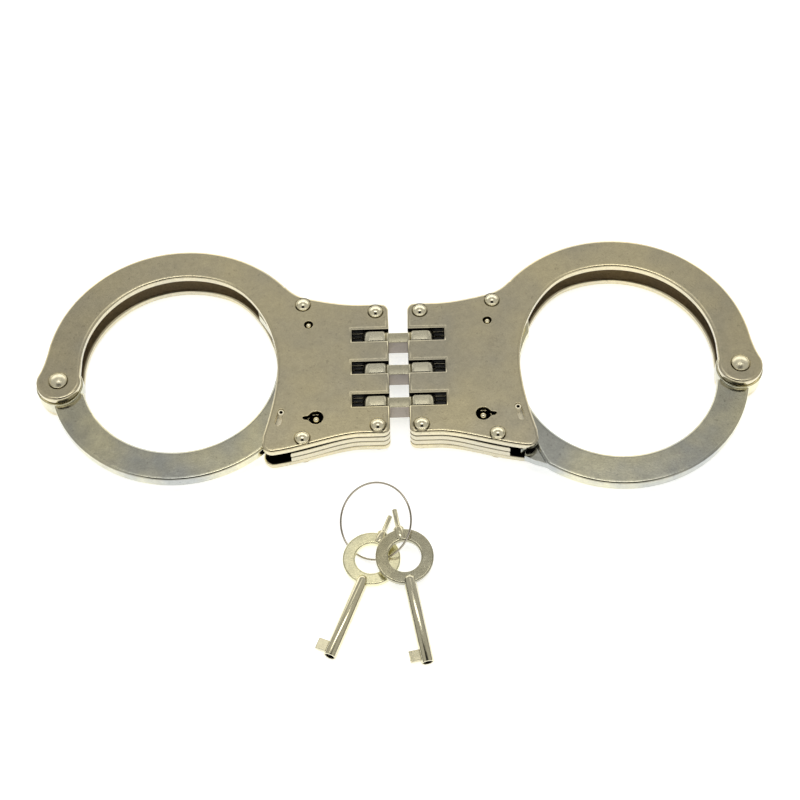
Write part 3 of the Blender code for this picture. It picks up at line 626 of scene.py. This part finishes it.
def single_bow(name, side):
    """The swinging bow: a flat arm, a toothed rim raised on its outer side, and a hub round the pivot."""
    centre, tip = (BOW_CENTRE_DISTANCE, 0), TIP_ANGLE
    sweep = SHOULDER_END - SHOULDER_START
    arm = join(
        arc(centre, BOW_OUTER, -176, -56.2, 110),
        [bow_place(STEP_RADIUS, SHOULDER_START + sweep * i / 60) for i in range(61)],
        bow_bezier((72.3, 16.6), (72.4, 18.0), (71.9, 18.6), (71.2, 17.8), steps=8),
        arc(centre, BOW_INNER, 27.5, -173, 150),
    )
    rim = join(
        [bow_place(70.9, RIM_START - RIM_SWEEP * i / 30) for i in range(31)],
        [bow_place(STEP_RADIUS - 0.3, RAMP_START), bow_place(74.9, RAMP_START + 2.3)],
        [bow_place(r, a) for r, a in tooth_points()],
        bow_bezier((76.2, tip - 4.6), (75.9, tip - 1.0), (75.0, tip), (74.2, tip), steps=10),
        bow_bezier((74.2, tip), (73.0, tip), (72.2, tip - 0.8), (71.6, tip - 2.0), steps=10),
    )
    half = BOW_THICKNESS / 2
    arm_profile = rounded(MID_Z - half, MID_Z + half, EDGE, EDGE_STEPS, spread=EDGE_SPREAD)
    arm_mesh = build("arm", [(arm, arm_profile, False)])
    rim_mesh = build("rim", [(rim, rounded(MID_Z - RIM_DOWN, MID_Z + RIM_UP, 0.12, 2, 0.05), False)])
    hub_profile = rounded(MID_Z - HUB_THICKNESS / 2, MID_Z + HUB_THICKNESS / 2, 0.25, 3, 0.1)
    bore = (circle((0, 0), PIVOT_SHANK + CLEARANCE, 40), hub_profile, True)
    hub_mesh = build("hub", [(circle((0, 0), HUB_RADIUS, 96), hub_profile, False), bore])
    mesh = joined("bow", [arm_mesh, rim_mesh, hub_mesh])
    mesh.transform(Matrix.Scale(-1, 4, Vector((1, 0, 0))))
    mesh.flip_normals()
    moved(mesh, Matrix.Rotation(radians(-CLOSED_ANGLE[name]), 4, "Z"))
    mesh = mirrored(shifted(mesh, *PIVOT), side)
    piece(f"{name}_ratchet_bow", mesh, (BOW_METAL,), f"{name}_bow", [f"{name}_single_bow"], 30)


def round_pin(name, side, node, place, radius, low, high):
    """A short upright pin with a crowned top."""
    crown = [(0, high), (radius * 0.5, high - 0.04), (radius * 0.85, high - radius * 0.25)]
    crown.append((radius, high - radius * 0.6))
    foot = [(radius, low + 0.2), (radius - 0.15, low + 0.02), (0, low)]
    mesh = mirrored(shifted(lathe(node, crown + foot, 32), *place), side)
    piece(f"{name}_{node}_round", mesh, (BRIGHT_METAL,), f"{name}_cuff", [f"{name}_{node}"], 50)


def hinge_pin(name, side):
    bevel = 0.3
    end = PIN_HALF_LENGTH - bevel
    half = [(PIN_RADIUS, end), (PIN_RADIUS - bevel, PIN_HALF_LENGTH), (0, PIN_HALF_LENGTH)]
    profile = [(r, -along) for r, along in reversed(half)] + half
    mesh = moved(lathe("pin", profile, 40), Matrix.Rotation(radians(90), 4, "X"))
    mesh = mirrored(shifted(mesh, PIN_X, 0, MID_Z), side)
    piece(f"{name}_pin", mesh, (BRIGHT_METAL,), f"{name}_cuff", [f"{name}_hinge_pin"], 30)


def lock_slide(name, side):
    """The double-lock bar under the plate, its hollow stud in the slot, and its lug behind the pawl."""
    start = along_lock(STUD_REST - LOCK_SLOT_HALF, 0, LOCK_SLOT_MIDDLE)
    # The bar from above, an L whose short leg reaches in to the lug: (along the slot, across it)
    corners = ((5.3, -1.3), (5.3, 1.5), (-7.2, 1.5), (-7.2, 10.6), (-9.9, 10.6), (-9.9, -1.3))
    bar = [along_lock(forward, outward, start) for forward, outward in corners]
    bar_low, bar_high = TOP_LOW - 1.05, TOP_LOW - 0.25
    bar_mesh = build("bar", [(bar, rounded(bar_low, bar_high, 0.1, 2, 0.05), False)])
    lug = [(25.8, -11.3), (27.0, -11.3), (27.0, -9.1), (25.8, -9.1)]  # on the cuff, by the pawl's tail
    lug_mesh = build("lug", [(lug, rounded(MID_Z - 1.15, bar_low + 0.4, 0.1, 2, 0.05), False)])
    foot, lip = bar_low + 0.3, TOP_HIGH - 0.2
    stud = [(0, foot), (STUD_RADIUS, foot), (STUD_RADIUS, TOP_HIGH - 0.3), (STUD_RADIUS - 0.08, lip)]
    stud += [(0.62, lip), (0.55, TOP_HIGH - 0.3), (0.53, TOP_HIGH - 1.1), (0, TOP_HIGH - 1.15)]
    mesh = joined("slide", [bar_mesh, lug_mesh, shifted(lathe("stud", stud, 40), *start)])
    node = f"{name}_double_lock_slide"

    # Painted shade: the stud's hollow takes black.
    def kind(middle, _):
        off_axis = ((middle.x - start[0]) ** 2 + (middle.y - start[1]) ** 2) ** 0.5
        return int(off_axis < STUD_HOLLOW and middle.z > bar_high)

    materials = (SLIDE_METAL, SHADE_BLACK_METAL)
    piece(f"{name}_lock_slide", mirrored(mesh, side), materials, f"{name}_lock_slide", [node], 30, kind)


def hinge_link(row_name, row):
    """A dog-bone link on edge: a square-cornered barrel round each pin, and a lower waist between."""
    waist = LINK_WAIST / 2
    quarter = join(
        [(PIN_X + LINK_BARREL, 0)],
        arc((PIN_X + LINK_BARREL - LINK_CORNER, LINK_BARREL - LINK_CORNER), LINK_CORNER, 0, 90, 20),
        bezier((BARREL_END_X, LINK_BARREL), (4.0, LINK_BARREL), (4.1, waist), (WAIST_START_X, waist), 16),
    )
    far_half = quarter + [(-x, z) for x, z in reversed(quarter)]
    outline = far_half + [(x, -z) for x, z in reversed(far_half[1:-1])]
    walls = [(outline, rounded(-LINK_WIDTH / 2, LINK_WIDTH / 2, 0.24, 4, 0.1), False)]
    bore_profile = rounded(-LINK_WIDTH / 2, LINK_WIDTH / 2, 0.1, 2, 0.06)
    walls += [(circle((s * PIN_X, 0), PIN_RADIUS + CLEARANCE, 32), bore_profile, True) for s in (1, -1)]
    mesh = moved(build("link", walls), Matrix.Rotation(radians(90), 4, "X"))
    mesh = shifted(mesh, 0, row, MID_Z)
    node = f"hinge_link_{row_name}"

    # Painted shade on the flanks; painted light on the barrels, which take a lighter copy than the waist.
    def kind(middle, normal):
        flank, barrel = abs(normal.y) > 0.9, middle.x > BARREL_LOOK_X
        return 1 if flank else 2 * int(barrel)

    materials = (LINK_METAL, LINK_FLANK_SHADE_METAL, BARREL_LIT_METAL)
    piece(f"link_{row_name}", mesh, materials, "hinge_links", [node], 40, kind)


# --------------------------------------------------------------------------------------------------
# Keys and ring


def key_matrix(name):
    """Takes a key drawn round its bow's centre, with its peg along +Y, to its place on the table."""
    centre, heading, rise = KEYS[name]
    place = Matrix.Translation(Vector(centre) * MM)
    return place @ Matrix.Rotation(radians(heading), 4, "Z") @ Matrix.Rotation(radians(rise), 4, "X")


def key_bow(name):
    half = KEY_BOW_THICKNESS / 2
    profile = rounded(-half, half, radius=0.35, steps=6, margin=0.1, spread=1.5)
    walls = [(circle((0, 0), KEY_BOW_OUTER, 96), profile, False)]
    walls.append((circle((0, 0), KEY_BOW_INNER, 72), profile, True))
    mesh = moved(build("bow", walls), key_matrix(name))
    piece(f"{name}_bow_of_key", mesh, (KEY_METAL[name],), f"{name}_key", [f"{name}_key_bow"])


def slotted(mesh, start, end):
    """A turned key part along Y with a slot cut for the flat bow, between two places on Y."""
    half = KEY_BOW_THICKNESS / 2 + 0.25
    wide = 3  # past both sides of the part
    corners = [(-wide, start), (wide, start), (wide, end), (-wide, end)]
    slot = build("slot", [(corners, [(0, half), (0, -half)], False)])
    objects = [bpy.data.objects.new(part.name, part) for part in (mesh, slot)]
    for obj in objects:
        bpy.context.scene.collection.objects.link(obj)
    modifier = objects[0].modifiers.new("cut", "BOOLEAN")
    modifier.object, modifier.operation, modifier.solver = objects[1], "DIFFERENCE", "EXACT"
    bpy.context.view_layer.update()
    evaluated = objects[0].evaluated_get(bpy.context.evaluated_depsgraph_get())
    cut = bpy.data.meshes.new_from_object(evaluated)
    for obj in objects:
        bpy.data.objects.remove(obj)
    return cut


def paint_shade_in_hole(mesh, radius, start, end):
    """Paints shade into a hole along Y: faces within a radius and between two places take the second
    material, a painted black.
    """
    for face in mesh.polygons:
        x, y, z = face.center / MM
        face.material_index = int((x * x + z * z) ** 0.5 < radius and start < y < end)


def key_shank(name):
    """The barrel of the key: a domed top over the bow, a hollow tip and a square bit on one side."""
    top, tip = SHANK_TOP, SHANK_TIP
    depth = 12  # of the hollow
    crown = [radians(90 * i / 8) for i in range(9)]
    profile = [(SHANK_RADIUS * sin(a), top - SHANK_RADIUS * (1 - cos(a))) for a in crown]
    profile += [(SHANK_RADIUS, tip + 0.3), (SHANK_RADIUS - 0.1, tip + 0.08), (SHANK_RADIUS - 0.25, tip)]
    profile += [(SHANK_BORE + 0.1, tip), (SHANK_BORE, tip + 0.15), (SHANK_BORE, tip + depth)]
    profile.append((0, tip + depth + 0.3))
    barrel = moved(lathe("barrel", profile, 48), Matrix.Rotation(radians(-90), 4, "X"))
    barrel = slotted(barrel, -KEY_BOW_OUTER - 0.3, top + 1)
    # Painted shade in the hollow tip.
    paint_shade_in_hole(barrel, SHANK_BORE + 0.02, tip + 0.05, tip + depth + 0.4)
    low, high = tip + BIT_START, tip + BIT_START + BIT_LENGTH
    bit = [(-BIT_REACH, low), (-1.5, low), (-1.5, high), (-BIT_REACH, high)]
    bit_mesh = build("bit", [(bit, rounded(-BIT_HALF, BIT_HALF, 0.15, 3, 0.05), False)])
    mesh = moved(joined("shank", [barrel, bit_mesh]), key_matrix(name))
    materials = (SHANK_METAL, SHADE_BLACK_METAL)
    piece(f"{name}_shank_of_key", mesh, materials, f"{name}_key", [f"{name}_key_shank"], 35)


def key_peg(name):
    """The double-lock peg: a short tube slotted over the bow's edge, with a thin rod on it."""
    start, rim, saddle = SADDLE_START, KEY_BOW_OUTER, SADDLE_RADIUS
    profile = [(0, start + 0.9), (0.7, start + 0.9), (0.8, start + 0.05), (saddle - 0.3, start)]
    profile += [(saddle - 0.08, start + 0.1), (saddle, start + 0.35), (saddle, rim + 0.5)]
    profile += [(saddle - 0.25, rim + 0.9), (PEG_RADIUS + 0.15, rim + 1.25), (PEG_RADIUS, rim + 1.5)]
    profile += [(PEG_RADIUS, PEG_END - 0.25), (PEG_RADIUS * 0.8, PEG_END - 0.06), (0, PEG_END)]
    mesh = moved(lathe("peg", profile, 40), Matrix.Rotation(radians(-90), 4, "X"))
    mesh = slotted(mesh, start - 1, rim + 0.3)
    # Painted shade inside the peg's tube.
    paint_shade_in_hole(mesh, 0.81, start + 0.02, start + 1)
    moved(mesh, key_matrix(name))
    materials = (SHANK_METAL, SHADE_BLACK_METAL)
    piece(f"{name}_peg_of_key", mesh, materials, f"{name}_key", [f"{name}_key_peg"], 35)


def key_ring():
    """The wire ring: one turn and a little more, its ends lying side by side at the lowest part."""
    bm = bmesh.new()
    steps, sides = 150, 12
    middle, overlap = -114, 16  # where round the ring the ends lie side by side, and over what angle
    last = 0.1  # the share of the wire over which it climbs beside its own start
    loops = []
    for i in range(steps + 1):
        along = i / steps
        turn = Matrix.Rotation(radians(middle - overlap / 2 + along * (360 + overlap)), 4, "Z")
        ease = max(0.0, (along - (1 - last)) / last)
        rise = (2 * RING_WIRE + 0.02) * ease * ease * (3 - 2 * ease)
        thickness = RING_WIRE * (0.97 if 0 < i < steps else 0.8)
        wire = circle((RING_RADIUS, rise), thickness, sides)
        loops.append([bm.verts.new(turn @ Vector((x * MM, 0, z * MM))) for x, z in wire])
    for first, second in zip(loops, loops[1:]):
        for j in range(sides):
            k = (j + 1) % sides
            bm.faces.new((first[j], first[k], second[k], second[j]))
    bm.faces.new(loops[0])
    bm.faces.new(loops[-1][::-1])
    mesh = mesh_from(bm, "wire")
    lean_x = Matrix.Rotation(radians(RING_SLOPE_Y), 4, "X")
    lean_y = Matrix.Rotation(radians(-RING_SLOPE_X), 4, "Y")
    moved(mesh, Matrix.Translation(Vector(RING_PLACE) * MM) @ (lean_y @ lean_x))
    piece("wire_ring", mesh, (WIRE_METAL,), "ring", ["key_ring"], 50)


for side_name, side_sign in (("left", -1), ("right", 1)):
    for plate_level in ("top", "bottom"):
        cheek_plate(side_name, side_sign, plate_level)
        inner_frame(side_name, side_sign, plate_level)
    for rivet_kind in (*BODY_RIVETS, "pivot"):
        rivet(side_name, side_sign, rivet_kind)
    single_bow(side_name, side_sign)
    pin_top, post_top = TOP_HIGH - PIN_SUNK, TOP_HIGH - POST_SUNK
    round_pin(side_name, side_sign, "pawl_pin", PAWL_PIVOT, PAWL_PIN_RADIUS, BOTTOM_LOW, pin_top)
    round_pin(side_name, side_sign, "key_post", KEYHOLE, POST_RADIUS, BOTTOM_LOW, post_top)
    hinge_pin(side_name, side_sign)
    lock_slide(side_name, side_sign)
    key_bow(side_name)
    key_shank(side_name)
    key_peg(side_name)
key_ring()
for link_row_name, link_row in LINK_ROWS.items():
    hinge_link(link_row_name, link_row)

for node_name, node_object in frame["nodes"].items():
    if node_name.endswith(("_pawl", "_pawl_spring")):
        node_object.material_slots[0].material = SPRING_METAL

# --------------------------------------------------------------------------------------------------
# Floor, light and camera


FLOOR_HALF, FLOOR_DROP = 12.0, 0.0002  # metres: half its width, and its gap under the cuffs
FLOOR_GLOW = 0.60


def floor():
    """A pale lit table: part of its light is its own, so shadows on it stay faint."""
    mesh = bpy.data.meshes.new("floor")
    half = FLOOR_HALF
    corners = [(-half, -half, 0), (half, -half, 0), (half, half, 0), (-half, half, 0)]
    mesh.from_pydata(corners, [], [(0, 1, 2, 3)])
    obj = bpy.data.objects.new("floor", mesh)
    bpy.context.scene.collection.objects.link(obj)
    obj.location.z = -FLOOR_DROP
    material = bpy.data.materials.new("floor_paint")
    material.use_nodes = True
    shader = material.node_tree.nodes["Principled BSDF"]
    shader.inputs["Base Color"].default_value = (0.86, 0.86, 0.87, 1)
    shader.inputs["Roughness"].default_value = 0.9
    shader.inputs["Specular IOR Level"].default_value = 0.0
    shader.inputs["Emission Color"].default_value = (0.96, 0.98, 1.0, 1)
    shader.inputs["Emission Strength"].default_value = FLOOR_GLOW
    mesh.materials.append(material)


# The studio's bands across the sky. Heights run from 0 at the far horizon, over 90 overhead, to 180 at
# the viewer's horizon. After each name: lowest, highest, softness, how far it goes to the sides (as a
# sine, where it is full and where it is gone), and strength.
STUDIO_BANDS = (
    ("far_sweep", -30.0, 28.0, 16.0, 0.60, 0.92, 1.15),
    ("reflector", 64.0, 68.0, 3.0, 0.12, 0.40, 0.62),
    ("lamp", 80.5, 85.5, 1.5, 0.14, 0.45, 3.30),
    ("near_sweep", 136.0, 172.0, 7.0, 0.50, 0.92, 0.60),
)
STUDIO_SHADE = (98.0, 128.0, 2.5, 0.20, 0.44, 0.97)  # the viewer's own dark shape, in the same terms
STUDIO_WINGS = (0.14, 0.19, 0.30, 0.42, 0.20)  # dimmer to both sides: first, full, last, gone, how much
STUDIO_WALLS = (0.08, 0.34, 0.03, 0.465)  # sines of the heights between which they brighten, from, to
STUDIO_TINT = (1.0, 0.965, 0.865)


def world():
    """A studio as light alone: dim walls, a pale sweep behind the set, a lamp and a reflector above."""
    studio = bpy.data.worlds.new("studio")
    bpy.context.scene.world = studio
    studio.use_nodes = True
    nodes, links = studio.node_tree.nodes, studio.node_tree.links
    background = nodes["Background"]
    split = nodes.new("ShaderNodeSeparateXYZ")
    links.new(nodes.new("ShaderNodeTexCoord").outputs["Generated"], split.inputs[0])

    def math(kind, *sources):
        node = nodes.new("ShaderNodeMath")
        node.operation = kind
        for socket, source in zip(node.inputs, sources):
            if isinstance(source, (int, float)):
                socket.default_value = source
            else:
                links.new(source, socket)
        return node.outputs[0]

    def soft(source, low, high, start, end):
        node = nodes.new("ShaderNodeMapRange")
        node.interpolation_type = "SMOOTHSTEP"
        for socket, value in zip(("From Min", "From Max", "To Min", "To Max"), (low, high, start, end)):
            node.inputs[socket].default_value = value
        links.new(source, node.inputs["Value"])
        return node.outputs["Result"]

    height = math("DEGREES", math("ARCTAN2", split.outputs["Z"], split.outputs["Y"]))
    aside = math("ABSOLUTE", split.outputs["X"])

    def band(lowest, highest, softness, full, gone, strength):
        below = soft(height, lowest - softness, lowest, 0.0, strength)
        above = soft(height, highest, highest + softness, 1.0, 0.0)
        return math("MULTIPLY", math("MULTIPLY", below, above), soft(aside, full, gone, 1.0, 0.0))

    level = soft(split.outputs["Z"], *STUDIO_WALLS)
    for _, *values in STUDIO_BANDS:
        level = math("ADD", level, band(*values))
    level = math("MULTIPLY", level, math("SUBTRACT", 1.0, band(*STUDIO_SHADE)))
    first, full, last, gone, depth = STUDIO_WINGS
    wings = math("MULTIPLY", soft(aside, first, full, 0.0, depth), soft(aside, last, gone, 1.0, 0.0))
    level = math("MULTIPLY", level, math("SUBTRACT", 1.0, wings))
    links.new(level, background.inputs["Strength"])
    background.inputs["Color"].default_value = (*STUDIO_TINT, 1)


def softbox(name, place, target, width, height, power):
    """A soft light for the table that the metal doesn't mirror. Its place and size are in metres."""
    light = bpy.data.lights.new(name, "AREA")
    light.shape = "RECTANGLE"
    light.size, light.size_y = width, height
    light.energy = power
    obj = bpy.data.objects.new(name, light)
    bpy.context.scene.collection.objects.link(obj)
    obj.location = place
    obj.rotation_euler = (Vector(target) - Vector(place)).to_track_quat("-Z", "Y").to_euler()
    obj.visible_glossy = False


CAMERA_FOCAL = 81.0
CAMERA_TILT, CAMERA_YAW, CAMERA_ROLL = 58.81, -1.03, -2.37
CAMERA_PLACE = (5.59, -311.42, 493.21)  # from the hinge row's middle, on the upper plates' top


def camera():
    data = bpy.data.cameras.new("camera")
    data.sensor_width = 36.0
    data.lens = CAMERA_FOCAL
    data.clip_start = 0.01
    obj = bpy.data.objects.new("camera", data)
    bpy.context.scene.collection.objects.link(obj)
    tilt, yaw, roll = radians(CAMERA_TILT), radians(CAMERA_YAW), radians(CAMERA_ROLL)
    forward = Vector((sin(yaw) * cos(tilt), cos(yaw) * cos(tilt), -sin(tilt)))
    right = Vector((cos(yaw), -sin(yaw), 0))
    up = right.cross(forward)
    right, up = right * cos(roll) + up * sin(roll), up * cos(roll) - right * sin(roll)
    turn = Matrix((right, up, -forward)).transposed().to_4x4()
    x, y, z = CAMERA_PLACE
    obj.matrix_world = Matrix.Translation(Vector((x, y + ORIGIN_Y, z + TOP_HIGH)) * MM) @ turn
    bpy.context.scene.camera = obj


floor()
world()
softbox("overhead", (0.0, 0.15, 1.6), (0, 0, 0), 1.2, 1.0, 7.0)
camera()
bpy.context.scene.view_settings.view_transform = "Standard"
